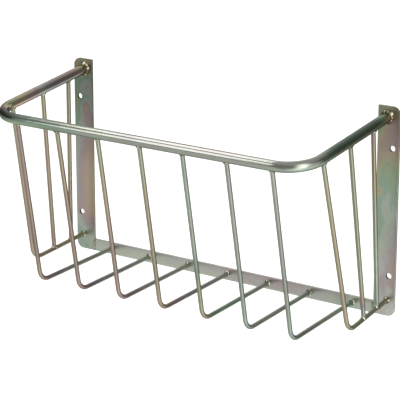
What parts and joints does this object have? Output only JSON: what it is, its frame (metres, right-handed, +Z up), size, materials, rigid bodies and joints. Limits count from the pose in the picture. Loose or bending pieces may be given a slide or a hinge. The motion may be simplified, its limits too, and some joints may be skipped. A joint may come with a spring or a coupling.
{
  "type": "hay rack",
  "caption": "Wall-mounted basket of welded round bars for hay: flat side straps with screw holes, a bent tube rim, L-shaped front bars and straight side bars.",
  "frame": {"origin": "on the wall plane, at the middle of the back face of the bottom rail", "axes": "+X along the wall, to the right for a person who looks at the rack's front; +Y into the wall; +Z up"},
  "size_m": [0.6, 0.2419, 0.322],
  "materials": {
    "strap": "zinc plate with yellow passivation, mottled green, mauve and tan, satin",
    "rail": "zinc plate with yellow passivation, grey-beige with pale green and pink, satin",
    "rim": "zinc plate with yellow passivation, glossy grey-green",
    "front_bar": "zinc plate with yellow passivation, taupe to grey-green, satin",
    "end_bar": "zinc plate with yellow passivation, tan and taupe, satin",
    "side_bar": "zinc plate with yellow passivation, yellow-green to mauve, satin",
    "weld": "weld bead under zinc plate, pale yellow and brown, semi-gloss"
  },
  "bodies": {
    "root": {"mounting_strap_left": "strap", "mounting_strap_right": "strap", "bottom_rail": "rail", "top_rim": "rim", "front_bar_1": "front_bar", "front_bar_2": "front_bar", "front_bar_3": "front_bar", "front_bar_4": "front_bar", "front_bar_5": "front_bar", "front_bar_6": "front_bar", "front_bar_7": "front_bar", "end_bar_left": "end_bar", "end_bar_right": "end_bar", "side_bar_left_front": "side_bar", "side_bar_left_rear": "side_bar", "side_bar_right_front": "side_bar", "side_bar_right_rear": "side_bar", "weld_rim_strap_left": "weld", "weld_rim_strap_right": "weld", "weld_rail_strap_left": "weld", "weld_rail_strap_right": "weld", "weld_front_bar_1_rim": "weld", "weld_front_bar_2_rim": "weld", "weld_front_bar_3_rim": "weld", "weld_front_bar_4_rim": "weld", "weld_front_bar_5_rim": "weld", "weld_front_bar_6_rim": "weld", "weld_front_bar_7_rim": "weld", "weld_front_bar_1_rail": "weld", "weld_front_bar_2_rail": "weld", "weld_front_bar_3_rail": "weld", "weld_front_bar_4_rail": "weld", "weld_front_bar_5_rail": "weld", "weld_front_bar_6_rail": "weld", "weld_front_bar_7_rail": "weld", "weld_end_bar_left_rim": "weld", "weld_end_bar_right_rim": "weld", "weld_end_bar_left_strap": "weld", "weld_end_bar_right_strap": "weld", "weld_side_bar_left_front_rim": "weld", "weld_side_bar_left_rear_rim": "weld", "weld_side_bar_right_front_rim": "weld", "weld_side_bar_right_rear_rim": "weld", "weld_side_bar_left_front_leg": "weld", "weld_side_bar_left_rear_leg": "weld", "weld_side_bar_right_front_leg": "weld", "weld_side_bar_right_rear_leg": "weld"}
  },
  "joints": []
}
